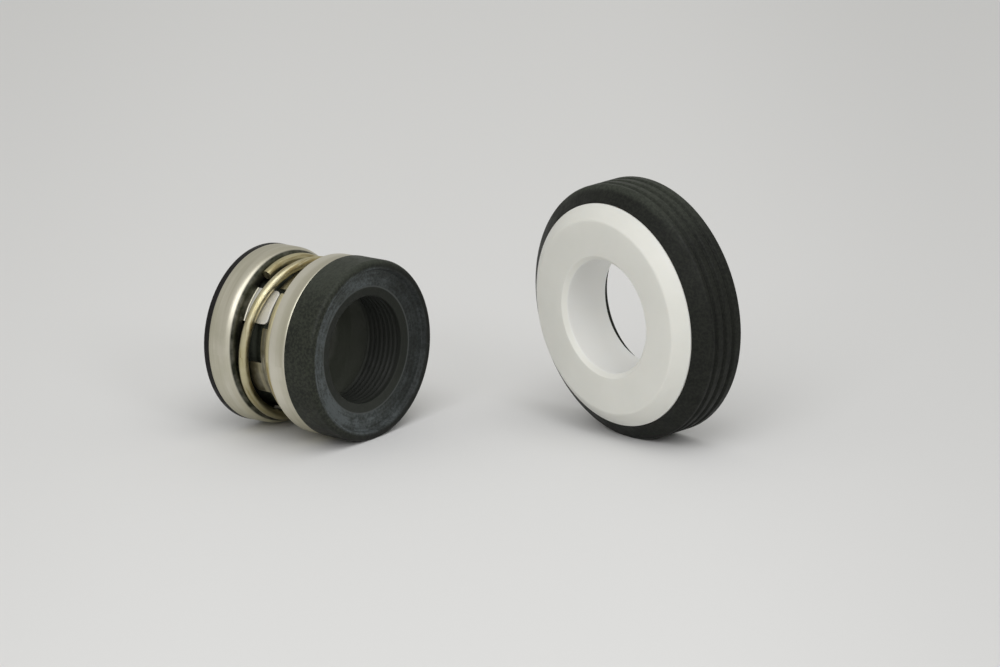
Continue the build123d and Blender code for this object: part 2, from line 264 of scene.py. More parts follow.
def winding_tree():
    """Winds a wire round X: flat on one seat, rising once, and flat on the other."""
    names = [
        "Wire Radius",
        "Coil Radius",
        "Start Angle",
        "Shell Side Turn",
        "Rising Turn",
        "Band Side Turn",
        "Ramp Ease",
        "Low",
        "High",
    ]
    sizes = [(name, "NodeSocketFloat") for name in names] + [("Steps", "NodeSocketInt")]
    tree, start, end = geometry_tree("wind_wire", sizes)
    size = start.outputs
    lifted = plus(tree, size["Shell Side Turn"], size["Rising Turn"])
    whole = plus(tree, lifted, size["Band Side Turn"])
    line = add(tree, "GeometryNodeMeshLine", Count=plus(tree, size["Steps"], 1.0))
    index = tree.nodes.new("GeometryNodeInputIndex").outputs[0]
    wound = times(tree, whole, sums(tree, "DIVIDE", index, size["Steps"]))
    even = add(tree, "ShaderNodeMapRange", Value=wound)
    eased = add(tree, "ShaderNodeMapRange", {"interpolation_type": "SMOOTHSTEP"}, Value=wound)
    for ramp in (even, eased):
        tree.links.new(size["Shell Side Turn"], ramp.inputs[1])
        tree.links.new(lifted, ramp.inputs[2])
    blend = add(tree, "ShaderNodeMix", Factor=size["Ramp Ease"], A=even.outputs[0], B=eased.outputs[0])
    climb = times(tree, blend.outputs[0], sums(tree, "SUBTRACT", size["High"], size["Low"]))
    along = plus(tree, climb, size["Low"])
    angle = sums(tree, "RADIANS", plus(tree, wound, size["Start Angle"]))
    across = times(tree, sums(tree, "COSINE", angle), size["Coil Radius"], -1.0)
    height = times(tree, sums(tree, "SINE", angle), size["Coil Radius"])
    place = add(tree, "ShaderNodeCombineXYZ", X=along, Y=across, Z=height)
    bent = add(tree, "GeometryNodeSetPosition", Geometry=line.outputs[0], Position=place.outputs[0])
    path = add(tree, "GeometryNodeMeshToCurve", Mesh=bent.outputs[0])
    section = add(
        tree,
        "GeometryNodeCurvePrimitiveCircle",
        {"mode": "RADIUS"},
        Resolution=WIRE_SIDES,
        Radius=size["Wire Radius"],
    )
    wire = add(
        tree,
        "GeometryNodeCurveToMesh",
        Curve=path.outputs[0],
        Profile_Curve=section.outputs[0],
        Fill_Caps=True,
    )
    close_tree(tree, start, end, wire.outputs[0])
    return tree


def made_by(tree, name, mesh, sizes):
    """Runs a Geometry Nodes tree on a mesh and keeps the result as a plain mesh."""
    base = bpy.data.objects.new(name, mesh)
    bpy.context.scene.collection.objects.link(base)
    modifier = base.modifiers.new("shape", "NODES")
    modifier.node_group = tree
    for item in tree.interface.items_tree:
        if item.in_out == "INPUT" and item.name in sizes:
            modifier[item.identifier] = sizes[item.name]
    return baked(base, name)


def baked(base, name):
    """Turns an object and its modifiers into one plain mesh object of that name."""
    graph = bpy.context.evaluated_depsgraph_get()
    mesh = bpy.data.meshes.new_from_object(base.evaluated_get(graph), depsgraph=graph)
    bpy.data.objects.remove(base)
    piece = bpy.data.objects.new(name, mesh)
    mesh.name = name
    bpy.context.scene.collection.objects.link(piece)
    return piece


# --- outlines ----------------------------------------------------------------------------------
def arc(middle, radius, start, end, steps=8):
    """Points on an arc in the plane of axis and radius, from one angle to another in degrees."""
    points = []
    for k in range(steps + 1):
        angle = math.radians(start + (end - start) * k / steps)
        points.append((middle[0] + radius * math.cos(angle), middle[1] + radius * math.sin(angle)))
    return points


def fold(start, end, radius, depth, steps=28):
    """The sleeve's soft fold: it leaves and meets the straight parts level, and dips by depth between them."""
    points = []
    for k in range(1, steps):
        share = k / steps
        dip = depth * (1 - math.cos(2 * math.pi * share)) / 2
        points.append((start + (end - start) * share, radius - dip))
    return points


def softened(corners, step=15.0):
    """A closed outline from corners (axial, radial, edge radius), each edge rounded by its own radius."""
    outline = []
    count = len(corners)
    for k in range(count):
        before = Vector(corners[k - 1][:2])
        corner = Vector(corners[k][:2])
        after = Vector(corners[(k + 1) % count][:2])
        radius = corners[k][2] if len(corners[k]) > 2 else 0
        back, forth = (before - corner), (after - corner)
        opening = back.angle(forth)
        if radius <= 0 or opening > math.pi - 0.01:
            outline.append(tuple(corner))
            continue
        reach = min(radius / math.tan(opening / 2), 0.45 * back.length, 0.45 * forth.length)
        radius = reach * math.tan(opening / 2)
        middle = corner + (back.normalized() + forth.normalized()).normalized() * radius / math.sin(opening / 2)
        first = corner + back.normalized() * reach - middle
        last = corner + forth.normalized() * reach - middle
        turn = first.angle_signed(last)
        steps = max(2, math.ceil(abs(math.degrees(turn)) / step))
        for j in range(steps + 1):
            angle = -turn * j / steps
            spoke = Vector(
                (
                    first.x * math.cos(angle) - first.y * math.sin(angle),
                    first.x * math.sin(angle) + first.y * math.cos(angle),
                )
            )
            outline.append(tuple(middle + spoke))
    return outline


def edge_ring(name, outline):
    """A closed ring of edges for the turning tree: X is the radius, Y runs back along the axis."""
    mesh = bpy.data.meshes.new(name)
    points = [(radial, -axial, 0) for axial, radial in outline]
    count = len(points)
    mesh.from_pydata(points, [(k, (k + 1) % count) for k in range(count)], [])
    return mesh


def finished(piece, material, body, nodes, sharp=SHARP_TURNED):
    """Outward faces, smooth shading with its real corners kept, and the piece's place in the frame."""
    shape = bmesh.new()
    shape.from_mesh(piece.data)
    bmesh.ops.remove_doubles(shape, verts=shape.verts, dist=WELD)
    bmesh.ops.recalc_face_normals(shape, faces=shape.faces)
    shape.to_mesh(piece.data)
    shape.free()
    piece.data.materials.clear()
    piece.data.materials.append(material)
    piece.data.shade_smooth()
    piece.data.set_sharp_from_angle(angle=math.radians(sharp))
    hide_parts(*nodes)
    if body:
        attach(piece, body)
    return piece


TURNING = turning_tree()


def turned(name, outline, place, material):
    """A piece turned from an outline and set in its place."""
    sizes = {"Arbor Radius": 1 * MM, "Steps": TURN_STEPS, "Material": material}
    piece = made_by(TURNING, name, edge_ring(name, outline), sizes)
    piece.data.transform(place)
    return piece


def rest_flat(piece):
    """Presses a soft rim flat where it stands on the floor."""
    for vertex in piece.data.vertices:
        vertex.co.z = max(vertex.co.z, FLOOR)


# --- pressings ---------------------------------------------------------------------------------
def finger_angles(middle, width, spacing=2.0):
    """Angles across a finger, close together round its two corners."""
    half = width / 2
    corner = math.degrees(FINGER_CORNER / FINGER_R)
    ends = [half - corner * (1 - math.cos(math.radians(a))) for a in range(0, 91, 15)]
    flat = half - corner
    count = math.ceil(2 * flat / spacing)
    inner = [flat - 2 * flat * k / count for k in range(1, count)]
    return [middle + a for a in [-e for e in ends] + [-a for a in inner] + ends[::-1]]


def even_angles(start, end, spacing=2.0):
    """Evenly spaced angles, both ends counted."""
    count = math.ceil((end - start) / spacing)
    return [start + (end - start) * k / count for k in range(count + 1)]


def tip(angle, middle, width, end):
    """Where a finger ends at an angle across it: its free corners are rounded. Positive ends point to +X."""
    side = math.radians(width / 2 - abs(angle - middle)) * FINGER_R
    lack = max(FINGER_CORNER - side, 0)
    return end[0] - end[1] * (FINGER_CORNER - math.sqrt(max(FINGER_CORNER**2 - lack**2, 0)))


def straight(start, end, steps):
    """Points from one point to another, both ends counted."""
    return [
        (start[0] + (end[0] - start[0]) * k / steps, start[1] + (end[1] - start[1]) * k / steps)
        for k in range(steps + 1)
    ]


def pressing(name, stretches):
    """The outer skin of a pressing. Each stretch gives its angles and the path, as a function of the angle."""
    shape = bmesh.new()
    for angles, path in stretches:
        columns = []
        for angle in angles:
            turn = math.radians(angle)
            column = [
                shape.verts.new((axial, -radial * math.cos(turn), radial * math.sin(turn)))
                for axial, radial in path(angle)
            ]
            columns.append(column)
        for left, right in zip(columns, columns[1:]):
            for k in range(len(left) - 1):
                shape.faces.new((left[k], left[k + 1], right[k + 1], right[k]))
    bmesh.ops.remove_doubles(shape, verts=shape.verts, dist=SHEET_WELD)
    bmesh.ops.recalc_face_normals(shape, faces=shape.faces)
    widest = max(shape.faces, key=lambda face: Vector((0, *face.calc_center_median()[1:])).length)
    outwards = Vector((0, *widest.calc_center_median()[1:]))
    if widest.normal.dot(outwards) < 0:
        bmesh.ops.reverse_faces(shape, faces=shape.faces)
    mesh = bpy.data.meshes.new(name)
    shape.to_mesh(mesh)
    shape.free()
    base = bpy.data.objects.new(name, mesh)
    bpy.context.scene.collection.objects.link(base)
    wall = base.modifiers.new("sheet", "SOLIDIFY")
    wall.thickness = SHEET
    wall.offset = -1
    wall.use_even_offset = True
    soft = base.modifiers.new("edges", "BEVEL")
    soft.width = EDGE
    soft.segments = 2
    soft.limit_method = "ANGLE"
    soft.angle_limit = math.radians(50)
    return baked(base, name)


def drive_band(material):
    """Clamped rim with a rolled edge, spring flange, slotted collar and three fingers."""
    root_r = FINGER_R + BEND_R
    shared = arc((-BAND_ROLL, BAND_R - BAND_ROLL), BAND_ROLL, 30, 90)
    shared += straight((-BAND_ROLL, BAND_R), (BAND_SEAT + BAND_CORNER, BAND_R), 4)[1:]
    shared += arc((BAND_SEAT + BAND_CORNER, BAND_R - BAND_CORNER), BAND_CORNER, 90, 180)[1:]
    shared += straight((BAND_SEAT, BAND_R - BAND_CORNER), (BAND_SEAT, root_r), 3)[1:]
    bend = arc((BAND_SEAT - BEND_R, root_r), BEND_R, 0, -90)[1:]
    collar = straight((BAND_SEAT - BEND_R, FINGER_R), (COLLAR_END, FINGER_R), 5)[1:]
    middle, width = BAND_FINGER
    slot_middle, slot_width = SHELL_FINGER
    slot_half = slot_width / 2 + SLOT_GAP
    end = (BAND_LOW.x, -1)

    def slotted(angle):
        return shared + [(BAND_SEAT, FINGER_HOLE_R)]

    def collared(angle):
        return shared + bend + collar

    stretches = []
    for k in range(3):
        turn = k * 120

        def fingered(angle, turn=turn):
            last = tip(angle, middle + turn, width, end)
            return shared + bend + collar + straight((COLLAR_END, FINGER_R), (last, FINGER_R), 6)[1:]

        stretches.append((finger_angles(middle + turn, width), fingered))
        stretches.append((even_angles(middle + width / 2 + turn, slot_middle - slot_half + turn), collared))
        stretches.append((even_angles(slot_middle - slot_half + turn, slot_middle + slot_half + turn), slotted))
        stretches.append((even_angles(slot_middle + slot_half + turn, middle - width / 2 + 120 + turn), collared))
    piece = pressing("drive_band_pressing", stretches)
    return finished(piece, material, "tail_and_seat", ["drive_band"], SHARP_SHEET)


def retainer_shell(material):
    """Cup round the ring end, rounded shoulder, spring wall and three fingers bent forward."""
    root_r = FINGER_R + BEND_R
    shared = straight((SHELL_LOW.x, SHELL_R), (SHELL_SEAT - SHELL_CORNER, SHELL_R), 5)
    shared += arc((SHELL_SEAT - SHELL_CORNER, SHELL_R - SHELL_CORNER), SHELL_CORNER, 90, 0, 10)[1:]
    shared += straight((SHELL_SEAT, SHELL_R - SHELL_CORNER), (SHELL_SEAT, root_r), 2)[1:]
    bend = arc((SHELL_SEAT + BEND_R, root_r), BEND_R, 180, 270)[1:]
    middle, width = SHELL_FINGER
    end = (SHELL_HIGH.x, 1)

    def walled(angle):
        return shared + [(SHELL_SEAT, FINGER_HOLE_R)]

    stretches = []
    for k in range(3):
        turn = k * 120

        def fingered(angle, turn=turn):
            last = tip(angle, middle + turn, width, end)
            return shared + bend + straight((SHELL_SEAT + BEND_R, FINGER_R), (last, FINGER_R), 9)[1:]

        stretches.append((finger_angles(middle + turn, width), fingered))
        stretches.append((even_angles(middle + width / 2 + turn, middle - width / 2 + 120 + turn), walled))
    piece = pressing("retainer_shell_pressing", stretches)
    return finished(piece, material, "ring_end", ["retainer_shell"], SHARP_SHEET)


# --- coil --------------------------------------------------------------------------------------
def coil(material):
    """One wire, closed on the shell's seat and on the band's, its ends cut square."""
    sizes = {
        "Wire Radius": WIRE_R,
        "Coil Radius": COIL_R,
        "Start Angle": COIL_START,
        "Shell Side Turn": SHELL_SIDE_TURN,
        "Rising Turn": RISING_TURN,
        "Band Side Turn": BAND_SIDE_TURN,
        "Ramp Ease": RAMP_EASE,
        "Low": SHELL_SEAT + WIRE_SEAT_GAP + WIRE_R,
        "High": BAND_SEAT - WIRE_SEAT_GAP - WIRE_R,
        "Steps": COIL_STEPS,
        "Material": material,
    }
    piece = made_by(winding_tree(), "spring_wire_coil", bpy.data.meshes.new("wire_path"), sizes)
    finished(piece, material, None, ["coil_spring"])
    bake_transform(piece)
    return piece


# --- turned pieces -----------------------------------------------------------------------------
def bellows(material):
    """Rubber tail with its lip and ribbed bore, folding sleeve and ring cup, in one outline."""
    soft, crisp, fine = 0.25 * MM, 0.10 * MM, 0.05 * MM
    high = BELLOWS_HIGH.x
    lip_r = TAIL_R - LIP_ROUND
    inner_lip_r = lip_r - LIP_LAND
    outside = [
        (FACE - DISH, BLOOM_INNER_R, soft),
        (FACE, inner_lip_r - LIP_SLOPE, soft),
        (high, inner_lip_r, LIP_EDGE),
        (high, TAIL_R, LIP_ROUND - fine),
        (0, TAIL_R, crisp),
        (0, CLAMP_R),
        (CLAMP_BACK, CLAMP_R, BAND_CORNER),
        (CLAMP_BACK, SLEEVE_R, fine),
        (COLLAR_END, SLEEVE_R),
    ]
    middle = [
        (CUP_RECESS, SLEEVE_R),
        (CUP_RECESS, FINGER_HOLE_R),
        (CUP_FRONT, FINGER_HOLE_R, crisp),
        (CUP_FRONT, RING_CUP_R, SHELL_CORNER),
        (CUP_RIM, RING_CUP_R, crisp),
        (CUP_RIM, SPIGOT_R + RING_GAP, crisp),
        (RING_HIGH.x + RING_GAP, SPIGOT_R + RING_GAP, crisp),
        (RING_HIGH.x + RING_GAP, BACK_LIP_R, soft),
        (CUP_RECESS, CAVITY_R),
    ]
    inside = [(COLLAR_END, CAVITY_R), (BORE_BACK, CAVITY_R, soft), (BORE_BACK, CREST_R, RIB_EDGE)]
    for k in range(RIB_COUNT):
        crest = BORE_BACK + k * RIB_PITCH
        if k:
            inside.append((crest, CREST_R, RIB_EDGE))
        inside.append((crest + RIB_LAND, CREST_R, RIB_EDGE))
        inside.append((crest + (RIB_LAND + RIB_PITCH) / 2, CREST_R + RIB_DEPTH, RIB_EDGE))
    inside += [(BORE_FRONT - RIB_LAND, CREST_R, RIB_EDGE), (FACE - DISH - THROAT_STEP, CREST_R, soft)]
    corners = outside + fold(COLLAR_END, CUP_RECESS, SLEEVE_R, FOLD_DEPTH)
    corners += middle
    corners += fold(CUP_RECESS, COLLAR_END, CAVITY_R, FOLD_DEPTH)
    corners += inside
    piece = turned("rubber_bellows", softened(corners), HEAD_PLACE, material)
    rest_flat(piece)
    finished(piece, material, None, ["bellows"])
    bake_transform(piece)
    return piece


def primary_ring(material):
    """Carbon ring: spigot, flange at the shell's rim, and the raised lapped nose."""
    edge, fine = 0.15 * MM, 0.05 * MM
    corners = [
        (RING_HIGH.x, RING_BORE_R, fine),
        (RING_HIGH.x, SPIGOT_R, fine),
        (FLANGE_FRONT, SPIGOT_R, fine),
        (FLANGE_FRONT, RING_R, edge),
        (FLANGE_BACK, RING_R, edge),
        (FLANGE_BACK, NOSE_OUTER_R, fine),
        (RING_LOW.x, NOSE_OUTER_R, fine),
        (RING_LOW.x, NOSE_INNER_R, fine),
        (FLANGE_BACK, RING_BORE_R, fine),
    ]
    piece = turned("carbon_face_ring", softened(corners), HEAD_PLACE, material)
    return finished(piece, material, "ring_end", ["primary_ring"])


def seat_ring(material):
    """Ceramic seat ring with its wide chamfer, lapped face and chamfered bore."""
    fine, soft = 0.06 * MM, 0.25 * MM
    corners = [
        (SEAT_PROUD - SEAT_BORE_CHAMFER, SEAT_BORE_R, soft),
        (SEAT_PROUD, SEAT_BORE_R + SEAT_BORE_CHAMFER, soft),
        (SEAT_PROUD, SEAT_FACE_R, SEAT_FACE_ROUND),
        (0, SEAT_RING_R, fine),
        (-SEAT_RING_DEPTH, SEAT_RING_R, SEAT_BACK_ROUND),
        (-SEAT_RING_DEPTH, SEAT_BORE_R, SEAT_BACK_ROUND),
    ]
    piece = turned("ceramic_seat_ring", softened(corners), SEAT_PLACE, material)
    return finished(piece, material, "tail_and_seat", ["seat_ring"], SHARP_CERAMIC)


def seat_cup(material):
    """Rubber cup of the seat: bevelled shoulder, three press-fit grooves and a back flange."""
    fine, mild, crisp, soft = 0.05 * MM, 0.10 * MM, 0.12 * MM, 0.30 * MM
    corners = [
        (CUP_MOUTH, CUP_INNER_R, fine),
        (CUP_MOUTH, CUP_INNER_R + CUP_MOUTH_LAND, mild),
        (-CUP_SHOULDER, CUP_R, CUP_SHOULDER_ROUND),
    ]
    bottom_r = CUP_R - GROOVE_DEPTH
    for k in range(GROOVE_COUNT):
        middle = -GROOVE_START - k * GROOVE_PITCH
        corners.append((middle + GROOVE_WIDTH / 2, CUP_R, crisp))
        corners.append((middle + GROOVE_FLOOR / 2, bottom_r, crisp))
        corners.append((middle - GROOVE_FLOOR / 2, bottom_r, crisp))
        corners.append((middle - GROOVE_WIDTH / 2, CUP_R, crisp))
    corners += [
        (CUP_BACK, CUP_R, CUP_BACK_EDGE),
        (CUP_BACK, CUP_WINDOW_R, soft),
        (CUP_FLOOR, CUP_WINDOW_R, crisp),
        (CUP_FLOOR, CUP_INNER_R),
    ]
    piece = turned("rubber_seat_cup", softened(corners), SEAT_PLACE, material)
    rest_flat(piece)
    return finished(piece, material, "tail_and_seat", ["seat_cup"])


# --- colours, linear ---------------------------------------------------------------------------
BLACK = (0, 0, 0)
TAIL_RUBBER = ((0.0070, 0.0084, 0.0054), (0.0290, 0.0335, 0.0225))
CUP_RUBBER = ((0.0018, 0.0024, 0.0012), (0.0110, 0.0128, 0.0084))
# Painted shade for the tail's side towards +Y and its underside.
PAINTED_SHADE_RUBBER = (0.0030, 0.0036, 0.0026)
# Dust, and painted light from above, on the rubber's upper side.
RUBBER_DUST_AND_TOP_LIGHT = (0.034, 0.039, 0.029)
RIBBED_BORE = (0.0125, 0.0142, 0.0112)
# Painted light inside the tail: a paler cavity, a paler throat bottom and a painted highlight on the mouth's rim.
CAVITY_PAINTED_LIGHT = (0.064, 0.070, 0.054)
THROAT = (0.0125, 0.0145, 0.0110)
THROAT_BOTTOM_PAINTED_LIGHT = (0.0210, 0.0235, 0.0190)
MOUTH_RIM_HIGHLIGHT = (0.0560, 0.0610, 0.0580)
RUBBER_BLOOM = (0.074, 0.085, 0.087)
DUST_SPECK = (0.20, 0.195, 0.17)
STEEL = (0.57, 0.55, 0.46)
STEEL_BANDS = ((0.555, 0.528, 0.425), (0.680, 0.652, 0.555))
STEEL_SMUDGE = (0.520, 0.506, 0.395)
# Painted highlight for the shell's fingers.
STEEL_PAINTED_HIGHLIGHT = (0.80, 0.785, 0.730)
# Painted reflection: brighter steel on the band towards its seat corner.
STEEL_PAINTED_BRIGHT = (0.740, 0.712, 0.620)
# Painted reflection: the pressings yellower underneath.
STEEL_PAINTED_UNDERSIDE = (0.545, 0.520, 0.375)
# Painted shade on the band's collar and fingers and round the shell's spring seat.
BAND_PAINTED_SHADE = (0.105, 0.095, 0.058)
SHELL_PAINTED_SHADE = (0.015, 0.017, 0.011)
STRAW_WIRE = (0.56, 0.51, 0.33)
STRAW_TINTS = ((0.53, 0.480, 0.285), (0.60, 0.555, 0.380))
DRAWN_STREAK = (0.345, 0.280, 0.135)
# Painted shade for the wire's underside.
WIRE_PAINTED_SHADE = (0.300, 0.270, 0.150)
CARBON = (0.006, 0.005, 0.005)
CARBON_SPECKS = ((0.0035, 0.0030, 0.0032), (0.0080, 0.0070, 0.0068))
LAPPED_CARBON = ((0.014, 0.0135, 0.014), (0.020, 0.019, 0.0195))
ALUMINA = (0.71, 0.71, 0.66)
GROUND_ALUMINA = ((0.700, 0.700, 0.650), (0.727, 0.725, 0.675))
# Painted light: the seat ring's bore wall, paler deep in, plainer near the face.
ALUMINA_BORE_PAINTED_LIGHT = ((0.840, 0.840, 0.815), (0.705, 0.705, 0.680))
PALE_FLOOR = (0.72, 0.72, 0.712)
ROOM_LOW, ROOM_HIGH = (0.94, 0.93, 0.885), (1.0, 0.995, 0.96)
LAMP_WHITE = (1.0, 1.0, 1.03)


# --- finishes ----------------------------------------------------------------------------------
# Noise scales count features to the metre.
def finish(name, base, roughness, **shader_inputs):
    """A material with its own Principled shader; values that are the same all over go on its sockets."""
    material = bpy.data.materials.new(name)
    material.use_nodes = True
    tree = material.node_tree
    shader = tree.nodes["Principled BSDF"]
    shader.inputs["Base Color"].default_value = (*base, 1)
    shader.inputs["Roughness"].default_value = roughness
    for socket, value in shader_inputs.items():
        shader.inputs[socket.replace("_", " ")].default_value = value
    return material, tree, shader


def object_spot(tree):
    """Where a point lies in the shared frame: X, Y and Z."""
    coordinates = tree.nodes.new("ShaderNodeTexCoord").outputs["Object"]
    return add(tree, "ShaderNodeSeparateXYZ", Vector=coordinates).outputs


def local_space(tree, place):
    """Object coordinates turned and centred so that Z runs along the piece's own axis."""
    inverse = place.inverted()
    coordinates = tree.nodes.new("ShaderNodeTexCoord").outputs["Object"]
    return add(
        tree,
        "ShaderNodeMapping",
        Vector=coordinates,
        Location=inverse.to_translation(),
        Rotation=inverse.to_euler(),
    ).outputs[0]


def polar(tree, space):
    """Radius, angle and height round Z."""
    parts = add(tree, "ShaderNodeSeparateXYZ", Vector=space).outputs
    radius = sums(tree, "SQRT", plus(tree, sums(tree, "POWER", parts[0], 2), sums(tree, "POWER", parts[1], 2)))
    angle = sums(tree, "ARCTAN2", parts[1], parts[0])
    return radius, angle, parts[2]


def between(tree, value, low, high, low_out=0.0, high_out=1.0):
    """A smooth change from one value to another."""
    node = add(tree, "ShaderNodeMapRange", {"interpolation_type": "SMOOTHSTEP"}, Value=value)
    for socket, number in zip(list(node.inputs)[1:5], (low, high, low_out, high_out)):
        socket.default_value = number
    return node.outputs[0]


def noise(tree, space, scale, detail=4.0, roughness=0.55):
    """Even noise in space."""
    node = add(tree, "ShaderNodeTexNoise", Vector=space, Scale=scale, Detail=detail, Roughness=roughness)
    return node.outputs[0]


def lines_round(tree, parts, around, across, detail, roughness=0.6):
    """Fine lines that run round the axis: few changes around it, many across them."""
    radius, angle, along = parts
    space = add(
        tree,
        "ShaderNodeCombineXYZ",
        X=times(tree, angle, around),
        Y=times(tree, along, across),
        Z=times(tree, radius, across),
    ).outputs[0]
    return noise(tree, space, 1.0, detail, roughness)


def mixed(tree, share, first, second):
    """Colour mixed from first to second by a share."""
    node = add(tree, "ShaderNodeMix", {"data_type": "RGBA"}, i0=share)
    for socket, colour in ((node.inputs[6], first), (node.inputs[7], second)):
        if isinstance(colour, bpy.types.NodeSocket):
            tree.links.new(colour, socket)
        else:
            socket.default_value = (*colour, 1)
    return node.outputs[2]


def feed(tree, shader, socket, value):
    """Links a node's output to one of the shader's sockets."""
    tree.links.new(value, shader.inputs[socket])


def bumped(tree, shader, height, distance, strength):
    """Fine relief in the shader's normal."""
    node = add(tree, "ShaderNodeBump", Height=height, Distance=distance, Strength=strength)
    feed(tree, shader, "Normal", node.outputs[0])


def painted_shade_sides(tree, spot, colour):
    """Painted shade: a darker tone on the tail's side towards +Y and on its underside."""
    side = between(tree, spot[1], -6 * MM, 11 * MM, 0, 0.85)
    colour = mixed(tree, side, colour, PAINTED_SHADE_RUBBER)
    underside = between(tree, spot[2], -15.8 * MM, -9 * MM, 0.7, 0)
    return mixed(tree, underside, colour, PAINTED_SHADE_RUBBER)


def inside_tail(tree, spot, radius, along, colour):
    """The ribbed bore and the mouth, with painted light: the cavity behind the bore paler, the mouth paler at its
    bottom and a painted highlight along its rim.
    """
    # Painted light: the cavity paler than the ribbed bore, the throat paler towards its bottom, the mouth's rim
    # highlighted.
    deep = between(tree, along, BORE_BACK - 2 * MM, BORE_BACK + 1.5 * MM, 1, 0)
    inside = between(tree, radius, MOUTH_R, MOUTH_R + 0.3 * MM, 1, 0)
    colour = mixed(tree, inside, colour, mixed(tree, deep, RIBBED_BORE, CAVITY_PAINTED_LIGHT))
    mouth_plane = FACE - DISH
    mouth = times(tree, inside, between(tree, along, mouth_plane - 0.3 * MM, mouth_plane - 0.2 * MM))
    rim = between(tree, radius, MOUTH_R - 0.2 * MM, MOUTH_R)
    throat = mixed(tree, between(tree, spot[2], -10.5 * MM, -4 * MM, 1, 0), THROAT, THROAT_BOTTOM_PAINTED_LIGHT)
    return mixed(tree, mouth, colour, mixed(tree, rim, throat, MOUTH_RIM_HIGHLIGHT))


def bloomed(tree, spot, space, parts, grain, moulding, colour):
    """A patchy pale bloom on the tail's face ring; its fade from strong towards -Y to weak towards +Y is painted
    light.
    """
    radius, _, along = parts
    ring = between(tree, radius, BLOOM_INNER_R - 0.4 * MM, BLOOM_INNER_R)
    ring = times(tree, ring, between(tree, radius, BLOOM_OUTER_R - 0.6 * MM, BLOOM_OUTER_R, 1, 0))
    face = times(tree, ring, between(tree, along, FACE - 0.8 * MM, FACE - 0.6 * MM))
    patches = times(
        tree,
        between(tree, noise(tree, space, 300, 6), 0.30, 0.70, 0.35, 1.0),
        between(tree, moulding, 0.3, 0.7, 0.6, 1.2),
        # Painted light: the bloom is stronger towards -Y and weaker towards +Y.
        between(tree, spot[1], -13 * MM, 12 * MM, 1.45, 0.34),
        between(tree, grain, 0.38, 0.62, 0.65, 1.35),
    )
    return mixed(tree, times(tree, face, patches), colour, RUBBER_BLOOM)


def specked(tree, space, colour):
    """A few pale specks of dust."""
    dust = add(tree, "ShaderNodeTexVoronoi", {"feature": "F1"}, Vector=space, Scale=420.0)
    near = between(tree, dust.outputs["Distance"], 0.05, 0.085, 1, 0)
    draw = add(tree, "ShaderNodeSeparateColor", Color=dust.outputs["Color"]).outputs[0]
    chosen = between(tree, draw, 0.955, 0.96)
    return mixed(tree, times(tree, near, chosen), colour, DUST_SPECK)


def black_rubber(name, place, shades, outside_r, tail=False):
    """Moulded rubber: nearly black, finely flecked and paler on top with dust and painted top light; the tail has a
    bore, bloom and specks too.
    """
    dark, light = shades
    material, tree, shader = finish(name, dark, 0.6, Specular_IOR_Level=0.25)
    space = local_space(tree, place)
    parts = polar(tree, space)
    radius, _, along = parts
    spot = object_spot(tree)
    cloud = between(tree, noise(tree, space, 180, 5), 0.38, 0.68)
    grain = noise(tree, space, 2100, 4, 0.65)
    flecks = between(tree, grain, 0.40, 0.60)
    moulding = lines_round(tree, parts, 1.2, 2300, 3)
    colour = mixed(tree, plus(tree, times(tree, cloud, 0.2), times(tree, flecks, 0.7)), dark, light)
    if tail:
        # Painted shade on the tail's side towards +Y and on its underside.
        colour = painted_shade_sides(tree, spot, colour)
    # Paler on top: partly dust, partly painted light from above.
    top = place.to_translation().z + outside_r
    upper = between(tree, spot[2], top - 0.40 * outside_r, top)
    outside = between(tree, radius, outside_r - 1.2 * MM, outside_r - 0.3 * MM)
    dust_and_top_light = times(tree, upper, outside, between(tree, flecks, 0, 1, 0.6, 1))
    colour = mixed(tree, dust_and_top_light, colour, RUBBER_DUST_AND_TOP_LIGHT)
    if tail:
        colour = inside_tail(tree, spot, radius, along, colour)
        colour = bloomed(tree, spot, space, parts, grain, moulding, colour)
        colour = specked(tree, space, colour)
    feed(tree, shader, "Base Color", colour)
    feed(tree, shader, "Roughness", between(tree, noise(tree, space, 420), 0.3, 0.7, 0.52, 0.66))
    bumped(tree, shader, plus(tree, times(tree, grain, 1.4), moulding), 0.04 * MM, 0.8)
    return material


